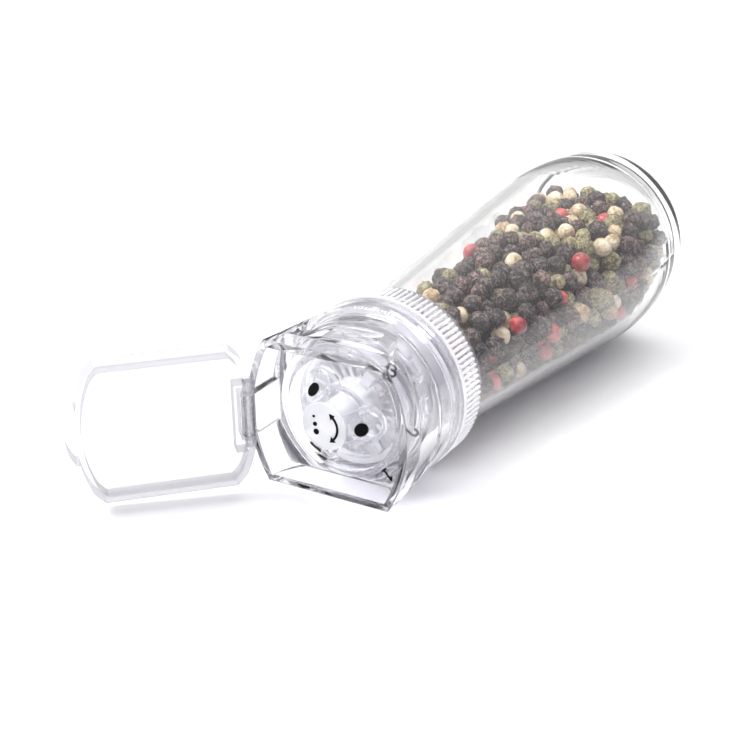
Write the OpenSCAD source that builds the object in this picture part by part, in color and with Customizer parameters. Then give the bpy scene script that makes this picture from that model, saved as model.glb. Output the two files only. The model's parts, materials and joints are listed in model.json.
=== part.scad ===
// Pepper mill: a glass jar of peppercorns with a clear grinder head, an adjusting knob and a flip lid.
// Every piece is drawn upright, with the jar's base at z = 0 and the outlet on top. lying() then
// lays it on its side, resting on the collar and the jar's belly, with the outlet towards -Y.

/* [Jar] */
// Radius of the jar where its two wall slopes would meet, at the belly
belly_r = 25.75; // [25.4:0.05:26.2]
// Height of the belly above the jar's base
belly_z = 24; // [20:0.5:28]
// Thickness of the jar's glass floor
jar_floor = 5.5; // [4:0.5:8]
// Thickness of the jar's glass wall
jar_wall = 2.4; // [1.8:0.1:2.8]
// Radius of the hole through the jar's neck
neck_bore_r = 13.9; // [13:0.1:14.2]

/* [Collar] */
// Outer radius of the collar's finger ribs
collar_r = 20.4; // [20.2:0.1:20.8]
// Number of finger ribs
rib_count = 100; // [60:2:120]
// Depth of the finger ribs
rib_depth = 0.5; // [0.3:0.1:0.7]

/* [Housing] */
// Height of the outlet face above the jar's base
mill_h = 146.5; // [146.5:0.5:147.5]
// Distance of each flat grip from the axis
grip_y = 16.2; // [16:0.1:16.6]
// Distance of the bowed sides from the axis, at the outlet face
side_x = 19.3; // [19:0.1:19.8]
// Depth of the recess in the outlet face
recess_d = 6.8; // [6:0.1:7]
// Radius of the outlet
outlet_r = 12.9; // [12.6:0.1:13]

/* [Lid] */
// Height of the lid
lid_h = 5; // [4.5:0.1:5]
// Angle the lid is drawn at, where 0 is closed
lid_open = 134; // [0:1:134]

/* [Grinder] */
// Gap between the burrs, at the middle setting
grind_gap = 0.35; // [0.3:0.05:0.45]
// Number of grooves in each burr
groove_count = 12; // [8:1:16]
// Number of teeth on the outer burr's crown
crown_count = 24; // [16:1:30]

/* [Hidden] */
$fn = 96;
nil = 0.01;

// Heights along the axis
shoulder_z = 112.4;
neck_z = 114.2;
neck_top = 120.8;
seal_t = 0.95;
web_z = 121.8;
collar_top = 123.3;
spigot_top = 130.2;
burr_throat_z = 128.2;
burr_top_z = 132.4;
floor_top = mill_h - recess_d;
floor_z = floor_top - 1.7;
hub_z = 134.4;
hub_top = 137.6;

// Radii about the axis
neck_r = 16.2;
spigot_r = 16.9;
spigot_bore_r = 15.2;
skirt_r = 20.1;
face_corner_r = 21.9;
chute_r = outlet_r + 1.3;

// The bowed sides: arcs through the corners of the outlet face
bow_r = 30.8;
bow_x = bow_r - side_x;
side_lean = 3.5;

// The hinge, seen along its own pin
hinge_x = -17.3;
hinge_z = mill_h + 2.6;
hinge_half = 4.75;
pin_r = 1;

// The inner burr's square stem
stem_w = 5;
stem_r = 2.4;

function unit(v) = v / norm(v);
function xy(p) = [p[0], p[1]];
// Centre of the arc of radius r that rounds the corner b between a and c
function arc_centre(a, b, c, r) =
    let (u = unit(a - b), v = unit(c - b)) b + unit(u + v) * r / sin(acos(u * v) / 2);
// Points along that arc
function corner(a, b, c, r, n) =
    r == 0 ? [b] :
    let (
        u = unit(a - b),
        v = unit(c - b),
        t = r / tan(acos(u * v) / 2),
        o = arc_centre(a, b, c, r),
        p = b + u * t - o,
        q = b + v * t - o,
        turn = acos(p * q / (r * r))
    )
    [for (i = [0:n]) o + (p * sin(turn * (1 - i / n)) + q * sin(turn * i / n)) / sin(turn)];
// A closed outline from corners given as [x, y, rounding]
function rounded(points, n = 8) =
    let (last = len(points) - 1)
    [for (i = [0:last])
        each corner(xy(points[i == 0 ? last : i - 1]), xy(points[i]),
            xy(points[i == last ? 0 : i + 1]), points[i][2], n)];

// The corners of the jar's outer wall that set how it lies
heel = [23.3, 0];
belly = [belly_r, belly_z];
shoulder = [17.5, shoulder_z];
belly_round = 90;
belly_centre = arc_centre(heel, belly, shoulder, belly_round);

// The mill lies on the line that touches the belly and the collar's top edge
lie_z = collar_top - belly_centre[1];
lie_r = collar_r - belly_centre[0];
tilt = asin(belly_round / norm([lie_z, lie_r])) - atan2(lie_r, lie_z);
axis_z = collar_top * sin(tilt) + collar_r * cos(tilt);
// Places the middle of the bounding box over the origin
lie_x = 10.156;
lie_y = 88.608;

module lying()
    translate([lie_x, lie_y, axis_z]) rotate([90 + tilt, 0, 0]) children();

module tube(r_out, r_in, z0, z1)
    translate([0, 0, z0]) difference() {
        cylinder(h = z1 - z0, r = r_out);
        translate([0, 0, -1]) cylinder(h = z1 - z0 + 2, r = r_in);
    }

module turned(points) rotate_extrude() polygon(points);

module around(count) for (i = [0:count - 1]) rotate([0, 0, 360 / count * i]) children();

// ---- Jar ----

// The jar's hollow, drawn in from the glass by inset
function cavity(inset) = let (wall = jar_wall + inset) [
    [0, jar_floor + inset, 0],
    [heel[0] + 0.05 - wall, jar_floor + inset, 6],
    [belly_r - 0.1 - wall, belly_z, 80],
    [shoulder[0] + 0.2 - wall, shoulder_z - 1.9, 8],
    [neck_bore_r - inset, neck_z + 0.3, 4],
    [neck_bore_r - inset, neck_top, 0],
    [0, neck_top, 0]
];

// A plain ring round the neck, in place of a turn of thread
function neck_ridge(z) = [[neck_r, z, 0], [neck_r + 1, z + 0.4, 0], [neck_r + 1, z + 1.2, 0], [neck_r, z + 1.6, 0]];

module glass_jar() color("lightgrey", 0.35) lying() difference() {
    turned(rounded([
        [0, 0, 0], [heel[0], heel[1], 6.5], [belly[0], belly[1], belly_round],
        [shoulder[0], shoulder[1], 3], [shoulder[0], neck_z - 0.4, 0], [neck_r, neck_z, 0],
        each neck_ridge(115.4), each neck_ridge(118),
        [neck_r, neck_top, 0.5], [0, neck_top, 0]
    ]));
    turned(rounded(cavity(0)));
    translate([0, 0, neck_top - 1]) cylinder(h = 2, r = neck_bore_r);
}

// The peppercorns as one plain body, level with the heap's top
module peppercorns() color("dimgray") lying() difference() {
    turned(rounded(cavity(0.35)));
    translate([0, 14.5, 0]) rotate([4, 0, 0]) translate([-40, 0, -20]) cube([80, 40, 170]);
    translate([0, 0, shoulder_z]) cylinder(h = 20, r = 30);
}

// ---- Collar, which screws on to the jar ----

module jar_seal() color("whitesmoke") lying() tube(17.1, 14.1, neck_top, neck_top + seal_t);

function rib_outline(count, r, depth) = [
    for (i = [0:count - 1], k = [0:3])
        let (a = 360 / count * (i + k / 4), rr = k < 2 ? r : r - depth) [rr * cos(a), rr * sin(a)]
];

module collar() color("lavender", 0.4) lying() difference() {
    union() {
        // Plain lower rim
        turned(rounded([[0, 114.4, 0], [19.8, 114.4, 0.8], [19.8, 116.4, 0], [0, 116.4, 0]]));
        translate([0, 0, 116.4 - nil])
            linear_extrude(6.3 + nil) polygon(rib_outline(rib_count, collar_r - 0.1, rib_depth));
        // Top edge, which the mill lies on
        translate([0, 0, 122.7 - nil]) cylinder(h = collar_top - 122.7 + nil, r = collar_r);
        cylinder(h = spigot_top, r = spigot_r);
    }
    // Room for the jar's neck
    translate([0, 0, -1]) cylinder(h = web_z + 1, r = 17.5);
    cylinder(h = 200, r = 13.6);
    translate([0, 0, collar_top]) cylinder(h = 20, r = spigot_bore_r);
    // Groove for the retaining ring
    tube(spigot_r + 1, 16.3, 125.4, 126.8);
}

// One slanted groove in a burr's cone, r from the axis
module burr_groove(r, z, lean, size)
    translate([r, 0, z]) rotate([24, lean, 0]) cube([size, size * 0.9, 12], center = true);

module outer_burr() color("gainsboro", 0.5) lying() difference() {
    turned([
        [13.4, collar_top], [15.15, collar_top], [15.15, spigot_top],
        [14.6, spigot_top], [14.6, burr_top_z], [12.2, burr_top_z],
        [10.6, burr_throat_z]
    ]);
    around(groove_count) burr_groove(11.6, 126, -28, 1.4);
    // Saw teeth round the top edge
    around(crown_count)
        translate([11, 0, burr_top_z - 1.1]) rotate([18, 0, 0]) cube([6, 0.9, 3]);
}

module thrust_washer() color("white") lying() tube(16.8, 15.5, spigot_top, spigot_top + 0.65);

// ---- Housing, which turns on the collar ----

// The outline of the head inside its walls, at distance wall from the outside
module head_outline(wall, corner_r) intersection() {
    square([60, 2 * (grip_y - wall)], center = true);
    translate([-bow_x, 0]) circle(bow_r - wall, $fn = 180);
    translate([bow_x, 0]) circle(bow_r - wall, $fn = 180);
    circle(corner_r - wall);
}

module bowed_side() translate([-bow_x, 0, mill_h]) rotate([0, -side_lean, 0])
    translate([0, 0, -30]) cylinder(h = 40, r = bow_r, $fn = 180);

// Cuts one flat grip, which runs out towards the collar in a sloping arc
grip_cut_r = 15;
grip_slope = 2.2;
module grip_cut() translate([0, grip_y, mill_h + 3.1]) rotate([-90, 0, 0])
    cylinder(h = 6, r1 = grip_cut_r, r2 = grip_cut_r + 6 * grip_slope);

module housing_block() difference() {
    intersection() {
        turned([
            [0, 123.5], [skirt_r, 123.5],
            for (s = [23:-2:1]) [skirt_r + (face_corner_r - skirt_r) * pow(1 - s / 23, 1.6), mill_h - s + nil],
            [face_corner_r, mill_h], [0, mill_h]
        ]);
        bowed_side();
        mirror([1, 0, 0]) bowed_side();
    }
    grip_cut();
    mirror([0, 1, 0]) grip_cut();
}

// The post that carries the hinge, with its barrel
module hinge_post() {
    translate([hinge_x - 1.55, -hinge_half, floor_top - nil])
        cube([3.1, 2 * hinge_half, hinge_z - floor_top + nil]);
    translate([hinge_x, hinge_half, hinge_z]) rotate([90, 0, 0]) cylinder(h = 2 * hinge_half, r = 1.55);
}

module housing() color("lavender", 0.35) lying() difference() {
    union() {
        difference() {
            housing_block();
            // Recess in the outlet face
            translate([0, 0, floor_top]) linear_extrude(20) head_outline(1.6, face_corner_r);
            // Hollow under the floor, down to the bore that runs on the collar
            translate([0, 0, 100]) cylinder(h = 30.9, r = spigot_r + 0.1);
            translate([0, 0, 130]) intersection() {
                cylinder(h = floor_z - 130, r = 16);
                translate([-20, -14.9, 0]) cube([40, 29.8, 20]);
            }
            tube(18, 10, 125.4, 126.8);
        }
        // Chute under the outlet, and the bead round it
        tube(chute_r, outlet_r - 1, 132.7, floor_z + nil);
        tube(outlet_r + 1.4, outlet_r - 1, floor_top - nil, floor_top + 0.5);
        hinge_post();
    }
    translate([0, 0, 130]) cylinder(h = 30, r = outlet_r);
    translate([hinge_x, 10, hinge_z]) rotate([90, 0, 0]) cylinder(h = 20, r = pin_r);
}

module split_ring(r_out, r_in, z0, z1, gap) difference() {
    tube(r_out, r_in, z0, z1);
    translate([0, -gap / 2, z0 - 1]) cube([r_out + 5, gap, z1 - z0 + 2]);
}

module retaining_ring() color("white") lying() split_ring(18, 16.45, 125.5, 126.7, 3);

// Three arms hold the hub in the middle of the outlet
module hub_spider() color("gainsboro", 0.6) lying() difference() {
    union() {
        tube(outlet_r - 0.05, 11.5, 134.6, 136.4);
        rotate([0, 0, 60]) around(3) translate([4, -1.1, 134.6]) cube([8, 2.2, 1.8]);
        translate([0, 0, hub_z]) cylinder(h = 5.2, r = 6.3);
    }
    // Seat of the knob's flange
    translate([0, 0, hub_top]) cylinder(h = 5, r = 5.3);
    // Square hole that keeps the stem from turning
    translate([-stem_w / 2 - 0.05, -stem_w / 2 - 0.05, hub_z - 1]) cube([stem_w + 0.1, stem_w + 0.1, 5]);
}

module knob_clip() color("silver") lying() split_ring(5.3, 4.4, 138.8, 139.4, 2);

// Strokes of a numeral in a 2 x 3 cell, each a list of points
numerals = [
    [[[0.5, 2.4], [1.1, 3], [1.1, 0]], [[0.5, 0], [1.7, 0]]],
    [[for (a = [160:-25:-40]) [1 + 0.85 * cos(a), 2.15 + 0.85 * sin(a)], [0.15, 0], [1.9, 0]]],
    [[for (a = [150:-25:-75]) [0.95 + 0.75 * cos(a), 2.25 + 0.75 * sin(a)]],
        [for (a = [75:-25:-150]) [0.95 + 0.9 * cos(a), 0.75 + 0.85 * sin(a)]]]
];
grade_angles = [-47, -1, 44];
mark_w = 0.5;
print_t = 0.15;

module stroke(points, w) for (i = [0:len(points) - 2]) {
    d = points[i + 1] - points[i];
    translate(points[i]) rotate(atan2(d[1], d[0])) {
        translate([0, -w / 2]) square([norm(d), w]);
        circle(w / 2, $fn = 16);
        translate([norm(d), 0]) circle(w / 2, $fn = 16);
    }
}

// Fine, medium and coarse, printed on the floor of the recess with their tops outwards
module grade_marks() color("black") lying() for (g = [0:2])
    rotate([0, 0, grade_angles[g]]) translate([15.9, 0, floor_top]) rotate([0, 0, -90])
        linear_extrude(print_t) scale(0.88) translate([-1, -1.5])
            for (s = numerals[g]) stroke(s, mark_w);

// ---- Adjusting knob ----

knob_top = mill_h + 0.5;
disc_r = 5.4;
lobe_x = 7.3;
dome = [[0, 120], [11.3, 120], [11.3, mill_h - 5.4], [5.8, mill_h - 0.2], [5.1, knob_top], [0, knob_top]];
dome_slope = atan2(5.2, 5.5);
dot_r = 7.6;
dot_z = mill_h - 0.2 - (dot_r - 5.8) * tan(dome_slope);

// A dome over the given outline
module domed(lower) intersection() {
    translate([0, 0, mill_h - 6.2]) linear_extrude(10) children();
    translate([0, 0, -lower]) turned(dome);
}

// One round dot on the slope of a lobe, sunk by depth and standing proud by rise
module lobe_dot(depth, rise) translate([dot_r, 0, dot_z]) rotate([0, dome_slope, 0])
    translate([0, 0, -depth]) cylinder(h = depth + rise, r = 1.5);

module adjuster_knob() color("gainsboro", 0.5) lying() difference() {
    union() {
        difference() {
            domed(0) {
                circle(disc_r);
                around(3) translate([lobe_x, 0]) circle(3.9);
            }
            // Hollow under each lobe
            translate([0, 0, -0.1]) domed(1.4) around(3) translate([lobe_x + 0.1, 0]) circle(2.7);
        }
        translate([0, 0, hub_top + 1]) cylinder(h = 4, r = 4.3);
        translate([0, 0, hub_top + 0.15]) cylinder(h = 1, r = 5.15);
    }
    translate([0, 0, hub_top]) cylinder(h = 6.9, r = stem_r + 0.05);
    around(3) lobe_dot(0.4, 1);
}

module knob_dots() color("black") lying() around(3) lobe_dot(0.4, 0.1);

// A curved arrow with a head at both ends, and three dots of growing size
module turn_arrow() color("black") lying() translate([0, 0, knob_top]) linear_extrude(print_t) {
    difference() {
        intersection() {
            difference() {
                circle(3.6);
                circle(3.1);
            }
            polygon([[0, 0], [8, -9], [8, 9]]);
        }
    }
    for (side = [-1, 1]) rotate(side * 46) translate([3.35, 0])
        polygon([[-0.75, 0], [0.75, 0], [0, side * 1.2]]);
    for (i = [0:2]) translate([-2.3 + 0.25 * i, 1.9 - 1.7 * i]) circle(0.3 + 0.17 * i, $fn = 24);
}

// ---- Inner burr, which slides on its square stem as the knob turns ----

burr_slope = 1.6 / (burr_top_z - burr_throat_z);
module inner_burr() color("gainsboro", 0.6) lying() difference() {
    turned([
        [0, 123.9], [5.4, 123.9], [10.6 - grind_gap, burr_throat_z],
        [12.2 - grind_gap, burr_top_z], [11.5, burr_top_z + 0.7], [0, burr_top_z + 0.7]
    ]);
    around(groove_count) burr_groove(9, 126.2, 42, 1.5);
    // Fine flutes across the top face
    around(24) translate([8.9, 0, burr_top_z + 0.75]) rotate([45, 0, 0]) cube([6.4, 0.8, 0.8], center = true);
    // Pocket for the spring, square hole for the stem and hole for the screw
    translate([0, 0, 128.6]) cylinder(h = 10, r = 5);
    translate([-stem_w / 2, -stem_w / 2, 124.6]) cube([stem_w, stem_w, 10]);
    cylinder(h = 130, r = 1.5);
}

module drive_stem() color("silver") lying() difference() {
    union() {
        translate([-stem_w / 2, -stem_w / 2, 124.6]) cube([stem_w, stem_w, 12.3]);
        translate([0, 0, 136.9 - nil]) cylinder(h = 6.5, r = stem_r);
    }
    cylinder(h = 129, r = 1.4);
}

module burr_washer() color("silver") lying() tube(4.2, 1.5, 123.3, 123.9);

module burr_screw() color("silver") lying() difference() {
    union() {
        translate([0, 0, 123.3 - nil]) cylinder(h = 5, r = 1.4);
        translate([0, 0, 122]) cylinder(h = 1.3, r1 = 2.4, r2 = 2.9);
    }
    for (a = [0, 90]) rotate([0, 0, a]) translate([-1.4, -0.25, 121.5]) cube([2.8, 0.5, 1]);
}

// The spring's wire, as rings of points along a helix with closed ends
spring_turns = 4.5;
spring_steps = 72;
wire_r = 0.35;
wire_sides = 6;
function spring_rise(t) = 128.6 + wire_r + (5.8 - 2 * wire_r) * t;
function wire_ring(t) =
    let (a = 360 * spring_turns * t)
    [for (k = [0:wire_sides - 1])
        let (b = 360 / wire_sides * k, r = 4.25 + wire_r * cos(b) * 0.98)
        [r * cos(a), r * sin(a), spring_rise(t) + wire_r * sin(b) * 0.98]];

module burr_spring() color("silver") lying() polyhedron(
    points = [for (i = [0:spring_steps]) each wire_ring(i / spring_steps)],
    faces = [
        [for (k = [0:wire_sides - 1]) k],
        for (i = [0:spring_steps - 1], k = [0:wire_sides - 1])
            let (a = i * wire_sides, b = a + wire_sides, n = (k + 1) % wire_sides)
            [a + k, b + k, b + n, a + n],
        [for (k = [wire_sides - 1:-1:0]) spring_steps * wire_sides + k]
    ]
);

// ---- Flip lid ----

lid_y = 15.3;
lid_x = 18.9;
lid_wall = 1.4;
lid_z = mill_h + 0.1;
pocket_x = hinge_x + 2;

module lid_outline(wall) intersection() {
    square([60, 2 * (lid_y - wall)], center = true);
    translate([lid_x - bow_r, 0]) circle(bow_r - wall, $fn = 180);
    translate([bow_r - lid_x, 0]) circle(bow_r - wall, $fn = 180);
    circle(20.6 - wall);
}

// The lid as it sits when closed
module closed_lid() difference() {
    union() {
        translate([0, 0, lid_z]) difference() {
            union() {
                linear_extrude(lid_h) lid_outline(0);
                // Thumb tab
                intersection() {
                    translate([lid_x - 8.2, 0, 0]) cylinder(h = lid_h, r = 10.2);
                    translate([10, -6, 0]) cube([20, 12, lid_h]);
                }
            }
            translate([0, 0, -1]) linear_extrude(lid_h - 0.3) lid_outline(lid_wall);
        }
        // Wall round the hinge pocket, and the bosses that hold the pin
        intersection() {
            translate([0, 0, lid_z]) linear_extrude(lid_h) lid_outline(0);
            translate([-25, -7.6, lid_z]) cube([25 + pocket_x + 1.3, 15.2, lid_h]);
        }
    }
    translate([-30, -hinge_half - 0.2, lid_z - 1]) cube([30 + pocket_x, 2 * hinge_half + 0.4, lid_h + 2]);
    // Round nose, so that the lid clears the outlet face as it swings
    difference() {
        translate([-30, -20, lid_z - 1]) cube([30 + hinge_x, 40, lid_h + 2]);
        translate([hinge_x, 21, hinge_z]) rotate([90, 0, 0]) cylinder(h = 42, r = 2.5);
    }
    translate([hinge_x, 7.5, hinge_z]) rotate([90, 0, 0]) cylinder(h = 15, r = pin_r + 0.05);
}

module flip_lid() color("lavender", 0.4) lying()
    translate([hinge_x, 0, hinge_z]) rotate([0, -lid_open, 0]) translate([-hinge_x, 0, -hinge_z])
        closed_lid();

module hinge_pin() color("gray") lying()
    translate([hinge_x, 7.4, hinge_z]) rotate([90, 0, 0]) cylinder(h = 14.8, r = pin_r);

glass_jar();
peppercorns();
jar_seal();
collar();
outer_burr();
thrust_washer();
housing();
retaining_ring();
hub_spider();
knob_clip();
grade_marks();
adjuster_knob();
knob_dots();
turn_arrow();
inner_burr();
drive_stem();
burr_washer();
burr_screw();
burr_spring();
flip_lid();
hinge_pin();
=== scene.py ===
"""Looks of the pepper mill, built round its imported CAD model.

Lengths are in metres unless a name ends in _MM or a comment says millimetres.
"""

import json
import math

import bpy
import numpy as np
from mathutils import Matrix, Vector, noise


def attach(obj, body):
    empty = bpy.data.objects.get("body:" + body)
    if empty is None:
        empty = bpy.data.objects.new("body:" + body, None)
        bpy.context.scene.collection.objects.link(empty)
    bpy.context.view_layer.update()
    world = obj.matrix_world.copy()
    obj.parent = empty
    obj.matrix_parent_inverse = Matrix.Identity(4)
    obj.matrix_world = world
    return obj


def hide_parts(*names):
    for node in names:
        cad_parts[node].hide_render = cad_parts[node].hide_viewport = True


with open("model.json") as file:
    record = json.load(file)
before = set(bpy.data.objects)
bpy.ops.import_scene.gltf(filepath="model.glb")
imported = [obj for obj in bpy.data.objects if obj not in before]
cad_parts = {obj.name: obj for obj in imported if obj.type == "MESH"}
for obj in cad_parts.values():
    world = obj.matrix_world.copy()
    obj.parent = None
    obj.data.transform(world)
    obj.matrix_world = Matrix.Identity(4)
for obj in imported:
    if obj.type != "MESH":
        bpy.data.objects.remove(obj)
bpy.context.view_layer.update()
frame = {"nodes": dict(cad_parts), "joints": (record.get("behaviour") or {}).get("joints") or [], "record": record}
record = frame["record"]
nodes = frame["nodes"]
scene = bpy.context.scene
scene.view_settings.view_transform = "Standard"
scene.view_settings.look = "None"

# ---------------------------------------------------------------- the mill's own axes
MM = 0.001
base_mount = next(m for m in record["mounts"] if m["name"] == "jar_base")
lid_joint = next(j for j in frame["joints"] if j["name"] == "lid_hinge")
SIDE = Vector((1, 0, 0))
NORMAL = Vector(lid_joint["axis"]).normalized()
TO_BASE = Vector(base_mount["axis"]).normalized()
OUTLET = -TO_BASE
BASE = Vector(base_mount["pos_m"])
MILL_H = 0.1465
FACE = BASE + OUTLET * MILL_H


# ---------------------------------------------------------------- camera
EYE_MM = (153.867, 132.454, -231.685)
AIM = (-0.478, -0.400, 0.782)
UPWARD = (-0.19362, 0.91637, 0.35038)
SENSOR_MM = 36
LENS_MM = 72
NEAREST = 0.01


def in_mill(side, normal, to_base):
    """A vector given by its parts along the mill's own axes."""
    return SIDE * side + NORMAL * normal + TO_BASE * to_base


def add_camera():
    """The camera stands EYE_MM from the middle of the outlet face."""
    eye = FACE + in_mill(*EYE_MM) * MM
    look = in_mill(*AIM).normalized()
    across = look.cross(in_mill(*UPWARD)).normalized()
    upward = across.cross(look).normalized()
    camera = bpy.data.objects.new("camera", bpy.data.cameras.new("camera"))
    camera.data.sensor_width = SENSOR_MM
    camera.data.lens = LENS_MM
    camera.data.clip_start = NEAREST
    facing = Matrix((across, upward, -look)).transposed().to_4x4()
    camera.matrix_world = Matrix.Translation(eye) @ facing
    scene.collection.objects.link(camera)
    scene.camera = camera


# ---------------------------------------------------------------- node helpers
class Nodes:
    """A short way to build a material's node tree."""

    def __init__(self, name):
        self.material = bpy.data.materials.new(name)
        self.material.use_nodes = True
        self.tree = self.material.node_tree
        self.tree.nodes.clear()
        self.out = self.tree.nodes.new("ShaderNodeOutputMaterial")
        coords = self.tree.nodes.new("ShaderNodeTexCoord")
        self.coords = coords.outputs["Object"]

    def add(self, kind, inputs=(), **settings):
        """A node with its inputs, each a value or another node's socket."""
        node = self.tree.nodes.new(kind)
        for key, value in settings.items():
            setattr(node, key, value)
        for key, value in dict(inputs).items():
            if isinstance(value, bpy.types.NodeSocket):
                self.tree.links.new(value, node.inputs[key])
            else:
                node.inputs[key].default_value = value
        return node

    def noise(self, scale, detail=4, rough=0.5, coords=None, distortion=0.0):
        inputs = {
            "Vector": coords or self.coords,
            "Scale": scale,
            "Detail": detail,
            "Roughness": rough,
            "Distortion": distortion,
        }
        return self.add("ShaderNodeTexNoise", inputs).outputs["Fac"]

    def ramp(self, value, stops):
        node = self.add("ShaderNodeValToRGB", {"Fac": value})
        while len(node.color_ramp.elements) < len(stops):
            node.color_ramp.elements.new(0.5)
        for element, (at, colour) in zip(node.color_ramp.elements, stops):
            element.position = at
            element.color = (*colour, 1)
        return node.outputs["Color"]

    def map(self, value, low, high, to_low, to_high):
        inputs = {"Value": value, "From Min": low, "From Max": high, "To Min": to_low, "To Max": to_high}
        return self.add("ShaderNodeMapRange", inputs).outputs["Result"]

    def sum(self, first, second):
        return self.add("ShaderNodeMath", {0: first, 1: second}, operation="ADD").outputs[0]

    def bump(self, height, strength, distance, edge=0.0):
        """Fine relief, over edges that are rounded by edge where it isn't 0."""
        inputs = {"Height": height, "Strength": strength, "Distance": distance}
        if edge:
            inputs["Normal"] = self.add("ShaderNodeBevel", {"Radius": edge}, samples=4).outputs["Normal"]
        return self.add("ShaderNodeBump", inputs).outputs["Normal"]

    def vector(self, operation, *values):
        return self.add("ShaderNodeVectorMath", dict(enumerate(values)), operation=operation).outputs

    def off_axis(self, point, axis):
        """Distance from the line through point along axis."""
        arm = self.vector("SUBTRACT", self.coords, tuple(point))[0]
        moment = self.vector("CROSS_PRODUCT", arm, tuple(axis))[0]
        return self.vector("LENGTH", moment)["Value"]

    def facing(self, blend):
        return self.add("ShaderNodeLayerWeight", {"Blend": blend}).outputs["Facing"]

    def finish(self, shader):
        self.tree.links.new(shader, self.out.inputs["Surface"])
        return self.material


# ---------------------------------------------------------------- glass, plastic, ink and steel
SHADOW_TINT = (0.93, 0.93, 0.95)
SMALL_RELIEF = 0.0005


def clear(name, tint, rough, scratch, ior, wave, edge, haze=0.0, ring=None):
    """Clear moulding that bends light, with an uneven, slightly scratched gloss. Lamps shine through it.

    edge is the radius of its rounded edges and haze the share of milky plastic in it. ring is (radius,
    radius, clearness, clearness): how clear it is at two distances from the mill's axis.
    """
    m = Nodes(name)
    soft = m.noise(90, 3)
    fine = m.noise(900, 5, 0.6)
    relief = m.sum(soft, m.map(fine, 0, 1, 0, scratch))
    paler = tuple(min(1, channel * 1.02) for channel in tint)
    body = m.add(
        "ShaderNodeBsdfPrincipled",
        {
            "Base Color": m.ramp(soft, [(0.3, tint), (0.7, paler)]),
            "IOR": ior,
            "Transmission Weight": 1.0 - haze if ring is None else m.map(m.off_axis(FACE, OUTLET), *ring),
            "Roughness": m.map(fine, 0.3, 0.7, rough * 0.7, rough * 1.4),
            "Normal": m.bump(relief, wave, SMALL_RELIEF, edge),
        },
    )
    shadow = m.add("ShaderNodeBsdfTransparent", {"Color": (*SHADOW_TINT, 1)})
    shadow_ray = m.add("ShaderNodeLightPath").outputs["Is Shadow Ray"]
    mixed = m.add("ShaderNodeMixShader", {0: shadow_ray, 1: body.outputs[0], 2: shadow.outputs[0]})
    return m.finish(mixed.outputs[0])


def opaque(name, stops, scale, rough, bump, metallic=0.0, stretch=(1, 1, 1), specular=0.5):
    """A solid finish with a mottled colour, uneven gloss and a fine relief."""
    m = Nodes(name)
    where = m.add("ShaderNodeMapping", {"Vector": m.coords, "Scale": stretch}).outputs[0]
    mottle = m.noise(scale, 6, 0.6, where)
    shader = m.add(
        "ShaderNodeBsdfPrincipled",
        {
            "Base Color": m.ramp(mottle, stops),
            "Metallic": metallic,
            "Specular IOR Level": specular,
            "Roughness": m.map(mottle, 0.3, 0.7, rough[0], rough[1]),
            "Normal": m.bump(m.noise(scale * 4, 4, 0.6, where), bump, SMALL_RELIEF),
        },
    )
    return m.finish(shader.outputs[0])


def frosted_with_edge_shade(name, tints_with_edge_shade, face_on, edge_on, rough, wave):
    """Cloudy moulding, denser where a wall is seen along its depth, and greyer there as painted shade.

    face_on and edge_on say how much it covers in each direction, and the tints go from one to the other: pale
    face-on, darker edge-on as painted shade.
    """
    m = Nodes(name)
    soft = m.noise(120, 3)
    slant = m.facing(0.42)
    body = m.add(
        "ShaderNodeBsdfPrincipled",
        {
            # painted shade: the colour darkens where a wall is seen edge-on
            "Base Color": m.ramp(slant, list(zip((0.0, 0.5, 1.0), tints_with_edge_shade))),
            "Alpha": m.map(slant, 0.1, 0.9, face_on, edge_on),
            "IOR": 1.5,
            "Roughness": m.map(soft, 0.3, 0.7, rough * 0.8, rough * 1.25),
            "Normal": m.bump(soft, wave, 2 * SMALL_RELIEF, 0.0008),
        },
    )
    return m.finish(body.outputs[0])


KNOB_DISC = (0.0052, 0.0056, 0.5, 0.94)
RIB_TIPS = (0.01992, 0.0201, 0.95, 0.22)
GLASS = (0.985, 0.985, 0.98)
LAVENDER = (0.975, 0.971, 0.99)
COOL = (0.97, 0.968, 0.99)
MILKY = (0.975, 0.975, 0.985)
PALE_GREY = (0.93, 0.93, 0.95)
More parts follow.
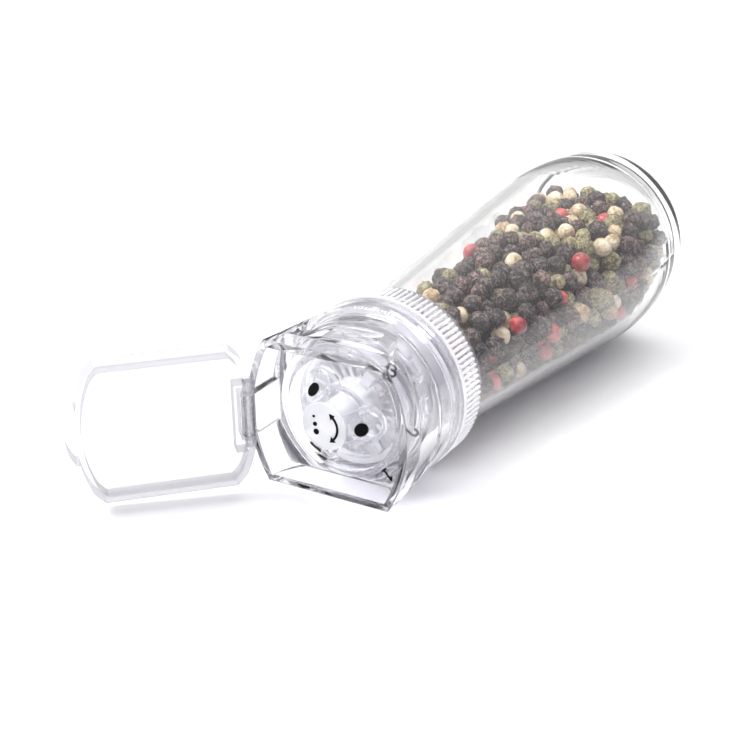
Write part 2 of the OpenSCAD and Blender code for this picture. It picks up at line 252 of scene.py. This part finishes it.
# lid and seal colours, face-on to edge-on; the darker edge-on greys are painted shade
LID_TINTS_WITH_EDGE_SHADE = ((0.82, 0.82, 0.84), (0.56, 0.56, 0.60), (0.38, 0.375, 0.43))
SEAL_TINTS_WITH_EDGE_SHADE = ((0.50, 0.50, 0.52), (0.40, 0.40, 0.42), (0.30, 0.30, 0.32))
INK = [(0.3, (0.002, 0.002, 0.002)), (0.7, (0.005, 0.005, 0.005))]
STEEL = [(0.3, (0.55, 0.55, 0.57)), (0.7, (0.70, 0.70, 0.72))]
looks = {
    "glass": clear("clear_glass", GLASS, 0.003, 0.02, 1.42, 0.02, 0),
    "housing": clear("lavender_plastic", LAVENDER, 0.01, 0.05, 1.35, 0.02, 0.0005),
    "collar": clear("ribbed_plastic", COOL, 0.02, 0.0, 1.36, 0.0, 0.0001, ring=RIB_TIPS),
    "burr": clear("burr_plastic", MILKY, 0.03, 0.1, 1.42, 0.02, 0.00015, haze=0.28),
    "knob": clear("knob_plastic", PALE_GREY, 0.03, 0.1, 1.42, 0.02, 0.0004, ring=KNOB_DISC),
    "lid": frosted_with_edge_shade("lid_plastic", LID_TINTS_WITH_EDGE_SHADE, 0.26, 0.96, 0.22, 0.05),
    "seal": frosted_with_edge_shade("seal_plastic", SEAL_TINTS_WITH_EDGE_SHADE, 0.5, 0.8, 0.3, 0.03),
    "ink": opaque("black_ink", INK, 900, (0.7, 0.9), 0.05, specular=0.1),
    "steel": opaque("bright_steel", STEEL, 500, (0.18, 0.34), 0.15, metallic=1.0, stretch=(1, 12, 1)),
}
look_of = {
    "glass_jar": "glass",
    "collar": "collar",
    "housing": "housing",
    "flip_lid": "lid",
    "adjuster_knob": "knob",
}
look_of |= dict.fromkeys(("outer_burr", "inner_burr", "hub_spider", "retaining_ring"), "burr")
look_of |= dict.fromkeys(("jar_seal", "thrust_washer"), "seal")
look_of |= dict.fromkeys(("knob_dots", "turn_arrow", "grade_marks"), "ink")
look_of |= dict.fromkeys(("drive_stem", "burr_washer", "burr_screw", "burr_spring"), "steel")
look_of |= dict.fromkeys(("knob_clip", "hinge_pin"), "steel")
for node_name, look_name in look_of.items():
    for slot in nodes[node_name].material_slots:
        slot.material = looks[look_name]


# ---------------------------------------------------------------- the skin of a peppercorn
WRINKLE_SCALE = 1150
WRINKLE_DEPTH = 0.0006


def pepper(name, dark, mid, light, rough, relief, coat=0.0, patch=380, crease_shade_share=0.68):
    """Dry skin: broad patches of colour, and a tone that follows the wrinkles, darker in the creases as painted
    shade and paler on the ridges.
    """
    m = Nodes(name)
    broad = m.noise(patch, 3, 0.6)
    creases = m.noise(WRINKLE_SCALE, 5, 0.66, distortion=1.2)
    # painted shade: the colour follows the wrinkle relief, darker where it is low and paler on its ridges
    tone_with_crease_shade = m.sum(m.map(broad, 0.3, 0.7, 0, 1 - crease_shade_share), m.map(creases, 0.38, 0.62, 0, crease_shade_share))
    body = m.add(
        "ShaderNodeBsdfPrincipled",
        {
            "Base Color": m.ramp(tone_with_crease_shade, [(0.22, dark), (0.48, mid), (0.78, light)]),
            "Roughness": m.map(creases, 0.3, 0.7, rough * 1.2, rough * 0.8),
            "Coat Weight": coat,
            "Coat Roughness": 0.12,
            "Normal": m.bump(creases, relief, WRINKLE_DEPTH),
        },
    )
    return m.finish(body.outputs[0])


# corn colours: dark, mid and light; with the wrinkles, the dark end falls in the creases as painted shade
BLACK = ((0.004, 0.002, 0.003), (0.020, 0.012, 0.013), (0.26, 0.19, 0.17))
BROWN = ((0.012, 0.005, 0.006), (0.055, 0.024, 0.026), (0.34, 0.23, 0.19))
GREEN = ((0.075, 0.060, 0.028), (0.22, 0.19, 0.09), (0.47, 0.42, 0.25))
WHITE = ((0.30, 0.19, 0.10), (0.62, 0.50, 0.33), (0.82, 0.74, 0.58))
RED = ((0.16, 0.004, 0.008), (0.42, 0.015, 0.022), (0.62, 0.10, 0.08))
TAN = ((0.26, 0.14, 0.07), (0.52, 0.36, 0.20), (0.80, 0.66, 0.44))
# each kind of corn: its name, share of the heap, size, depth of wrinkles and skin
CORN_KINDS = (
    ("black", 0.38, 1.0, 1.7, pepper("black_corn", *BLACK, 0.55, 1.0)),
    ("brown", 0.19, 1.0, 1.5, pepper("brown_corn", *BROWN, 0.55, 1.0)),
    ("green", 0.15, 1.0, 1.4, pepper("green_corn", *GREEN, 0.6, 0.8, patch=420, crease_shade_share=0.7)),
    ("white", 0.13, 0.93, 0.3, pepper("white_corn", *WHITE, 0.55, 0.5, patch=300, crease_shade_share=0.35)),
    ("red", 0.10, 0.92, 0.2, pepper("red_corn", *RED, 0.3, 0.3, coat=0.8, patch=300, crease_shade_share=0.3)),
    ("tan", 0.05, 0.95, 1.2, pepper("tan_corn", *TAN, 0.55, 0.8, patch=300, crease_shade_share=0.55)),
)

# ---------------------------------------------------------------- the heap, in millimetres
CORN_R = 2.42
CORN_SPREAD = (0.82, 1.12)
COUNT = 1010
HEAP_END = 119.0
HEAP_TOP = 14.4
HEAP_FALL = 0.03
NECK_FILL_R = 13.3
SEEN_DEPTH = 10.0
SETTLE_STEPS = 140
SINK_STEPS = 90
SINK = 0.04
PUSH_SHARE = 0.33
MARGIN = 3
LEVEL_REACH = 0.06
rng = np.random.default_rng(20)


def heap_profile():
    """The heap's levels above the jar's base and its half width at each, from the CAD heap."""
    points = np.array([v.co for v in nodes["peppercorns"].data.vertices])
    from_base = points - np.array(BASE)
    side, normal, height = (from_base @ np.array(axis) / MM for axis in (SIDE, NORMAL, OUTLET))
    reach = np.hypot(side, normal)
    low_half = normal < 0
    heights = np.unique(np.round(height[low_half], 1))
    near = [low_half & (np.abs(height - level) < LEVEL_REACH) for level in heights]
    return heights, np.array([reach[chosen].max() for chosen in near])


levels, widths = heap_profile()


def start_places():
    """A first, overlapping place for each corn, with more of them where the jar is wide."""
    height = rng.uniform(levels[0] + MARGIN, HEAP_END - MARGIN, COUNT * 4)
    wide = (np.interp(height, levels, widths) / widths.max()) ** 2
    height = height[rng.uniform(0, 1, COUNT * 4) < wide][:COUNT]
    angle = rng.uniform(0, 2 * math.pi, COUNT)
    out = np.sqrt(rng.uniform(0, 1, COUNT)) * (np.interp(height, levels, widths) - MARGIN)
    return np.stack([out * np.cos(angle), out * np.sin(angle), height], 1)


def settle():
    """Corn centres and radii, pushed apart inside the jar until they hardly cross each other."""
    radius = CORN_R * rng.uniform(*CORN_SPREAD, COUNT)
    p = start_places()
    reach = radius[:, None] + radius[None, :]
    for step in range(SETTLE_STEPS):
        apart = p[:, None, :] - p[None, :, :]
        gap = np.sqrt((apart ** 2).sum(2)) + 1e-9
        push = np.clip(reach - gap, 0, None) / gap
        np.fill_diagonal(push, 0)
        p += (apart * push[:, :, None]).sum(1) * PUSH_SHARE
        if step < SINK_STEPS:
            p[:, 1] -= SINK
        p[:, 2] = np.clip(p[:, 2], levels[0] + radius, HEAP_END - radius)
        top = HEAP_TOP + 0.4 - HEAP_FALL * p[:, 2] - radius * 0.6
        p[:, 1] = np.minimum(p[:, 1], top)
        wall = np.interp(p[:, 2], levels, widths)
        wall = np.where(p[:, 2] > levels[-1] - 1.0, NECK_FILL_R, wall) - radius
        out = np.hypot(p[:, 0], p[:, 1]) + 1e-9
        p[:, :2] *= np.minimum(1, wall / out)[:, None]
    return p, radius


def heap_depth(p):
    """How far each corn's centre is from the jar's wall, the heap's top or an end, whichever is nearest."""
    wall = np.interp(p[:, 2], levels, widths) - np.hypot(p[:, 0], p[:, 1])
    top = HEAP_TOP - HEAP_FALL * p[:, 2] - p[:, 1]
    end = np.minimum(p[:, 2] - levels[0], HEAP_END - p[:, 2])
    return np.minimum(np.minimum(wall, top), end)


# ---------------------------------------------------------------- the corns
SHAPES_PER_KIND = 5
SEED_STEP = 11
NOISE_SHIFT = (7.3, 3.1, 5.7)
FLATTEST = 0.9


def fold(p, sharpness):
    """1 along a crease line of the noise at p, falling to 0 beside it."""
    return max(0, 1 - abs(noise.noise(p)) * sharpness)


def corn_shape(rough, seed):
    """One wrinkled corn of radius 1: a ball with ridges, deeper where rough is larger."""
    bpy.ops.mesh.primitive_ico_sphere_add(subdivisions=3, radius=1)
    ball = bpy.context.object
    verts = np.array([v.co for v in ball.data.vertices])
    faces = np.array([list(f.vertices) for f in ball.data.polygons])
    shift = Vector([seed * part for part in NOISE_SHIFT])
    shaped = []
    for v in verts:
        p = Vector(v)
        ridges = 0.10 * fold(p * 2.3 + shift, 4.5) + 0.05 * fold(p * 4.6 + shift * 2, 4) - 0.05
        swell = 0.06 * noise.noise(p * 1.1 + shift)
        shaped.append(v * (1 + rough * ridges + swell))
    bpy.data.objects.remove(ball)
    return np.array(shaped), faces


def random_turn():
    """A rotation matrix in any direction."""
    q = rng.normal(size=4)
    w, x, y, z = q / np.linalg.norm(q)
    return np.array([
        [1 - 2 * (y * y + z * z), 2 * (x * y - z * w), 2 * (x * z + y * w)],
        [2 * (x * y + z * w), 1 - 2 * (x * x + z * z), 2 * (y * z - x * w)],
        [2 * (x * z - y * w), 2 * (y * z + x * w), 1 - 2 * (x * x + y * y)],
    ])


def corns_mesh(name, centres, radii, material, rough, seed):
    """All corns of one colour as one mesh."""
    shapes = [corn_shape(rough, seed + i) for i in range(SHAPES_PER_KIND)]
    all_verts, all_faces, start = [], [], 0
    for i, (centre, radius) in enumerate(zip(centres, radii)):
        verts, faces = shapes[i % SHAPES_PER_KIND]
        turn = random_turn()
        squash = np.array([1, 1, rng.uniform(FLATTEST, 1.0)])
        all_verts.append((verts * squash * radius) @ turn.T + centre)
        all_faces.append(faces + start)
        start += len(verts)
    axes = np.array([SIDE, NORMAL, OUTLET])
    world = (np.concatenate(all_verts) * MM) @ axes + np.array(BASE)
    mesh = bpy.data.meshes.new(name)
    mesh.from_pydata(world.tolist(), [], np.concatenate(all_faces).tolist())
    mesh.shade_smooth()
    mesh.materials.append(material)
    o = bpy.data.objects.new(name, mesh)
    scene.collection.objects.link(o)
    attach(o, "jar")
    return o


def fill_jar():
    """Corns that can't be seen, deep in the heap, are left out."""
    centres, radii = settle()
    seen = heap_depth(centres) < SEEN_DEPTH
    centres, radii = centres[seen], radii[seen]
    shares = [kind[1] for kind in CORN_KINDS]
    kinds = rng.choice(len(CORN_KINDS), len(centres), p=shares)
    for k, (colour_name, _, size, rough, skin) in enumerate(CORN_KINDS):
        chosen = kinds == k
        name = f"peppercorns_{colour_name}"
        seed = SEED_STEP * k + 1
        corns_mesh(name, centres[chosen], radii[chosen] * size, skin, rough, seed)
    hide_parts("peppercorns")


# ---------------------------------------------------------------- floor, lamps and sky
FLOOR_HALF = 8
FLOOR_DROP = 0.0002
FLOOR_WHITE = [(0.3, (0.93, 0.93, 0.93)), (0.7, (0.95, 0.95, 0.95))]
SKY_UP = (-0.45, 0.55, 1.0)
SKY_DARK = (0.55, 0.53, 0.63, 1)
SKY_BRIGHT = (1, 1, 1, 1)
SKY_STRENGTH = 0.80


def floor():
    size = FLOOR_HALF
    corners = [(-size, -size, 0), (size, -size, 0), (size, size, 0), (-size, size, 0)]
    mesh = bpy.data.meshes.new("floor")
    mesh.from_pydata(corners, [], [(0, 1, 2, 3)])
    m = Nodes("floor_white")
    shade = m.ramp(m.noise(3, 2), FLOOR_WHITE)
    inputs = {"Base Color": shade, "Roughness": 0.6, "Specular IOR Level": 0.2}
    mesh.materials.append(m.finish(m.add("ShaderNodeBsdfPrincipled", inputs).outputs[0]))
    o = bpy.data.objects.new("floor", mesh)
    o.location = (0, 0, -FLOOR_DROP)
    scene.collection.objects.link(o)


def lamp(name, place_at, target, size, power):
    data = bpy.data.lights.new(name, "AREA")
    data.shape = "DISK"
    data.size = size
    data.energy = power
    o = bpy.data.objects.new(name, data)
    o.location = place_at
    o.rotation_euler = (Vector(target) - Vector(place_at)).to_track_quat("-Z", "Y").to_euler()
    scene.collection.objects.link(o)


def sky():
    """A white studio that darkens a little away from SKY_UP."""
    world = bpy.data.worlds.new("studio")
    world.use_nodes = True
    tree = world.node_tree
    direction = tree.nodes.new("ShaderNodeTexCoord").outputs["Generated"]
    lift = tree.nodes.new("ShaderNodeVectorMath")
    lift.operation = "DOT_PRODUCT"
    lift.inputs[1].default_value = SKY_UP
    tree.links.new(direction, lift.inputs[0])
    shade = tree.nodes.new("ShaderNodeValToRGB")
    dark, bright = shade.color_ramp.elements
    dark.position = 0.05
    dark.color = SKY_DARK
    bright.position = 0.5
    bright.color = SKY_BRIGHT
    tree.links.new(lift.outputs["Value"], shade.inputs[0])
    background = tree.nodes["Background"]
    tree.links.new(shade.outputs[0], background.inputs["Color"])
    background.inputs["Strength"].default_value = SKY_STRENGTH
    scene.world = world


add_camera()
fill_jar()
floor()
lamp("key", (-0.65, -0.45, 1.2), (0, 0, 0.02), 0.55, 11.0)
lamp("overhead", (0.0, 0.25, 1.4), (0, 0, 0), 1.0, 8.0)
lamp("front", (0.35, -1.3, 0.8), (0, 0, 0.02), 0.4, 4.0)
sky()
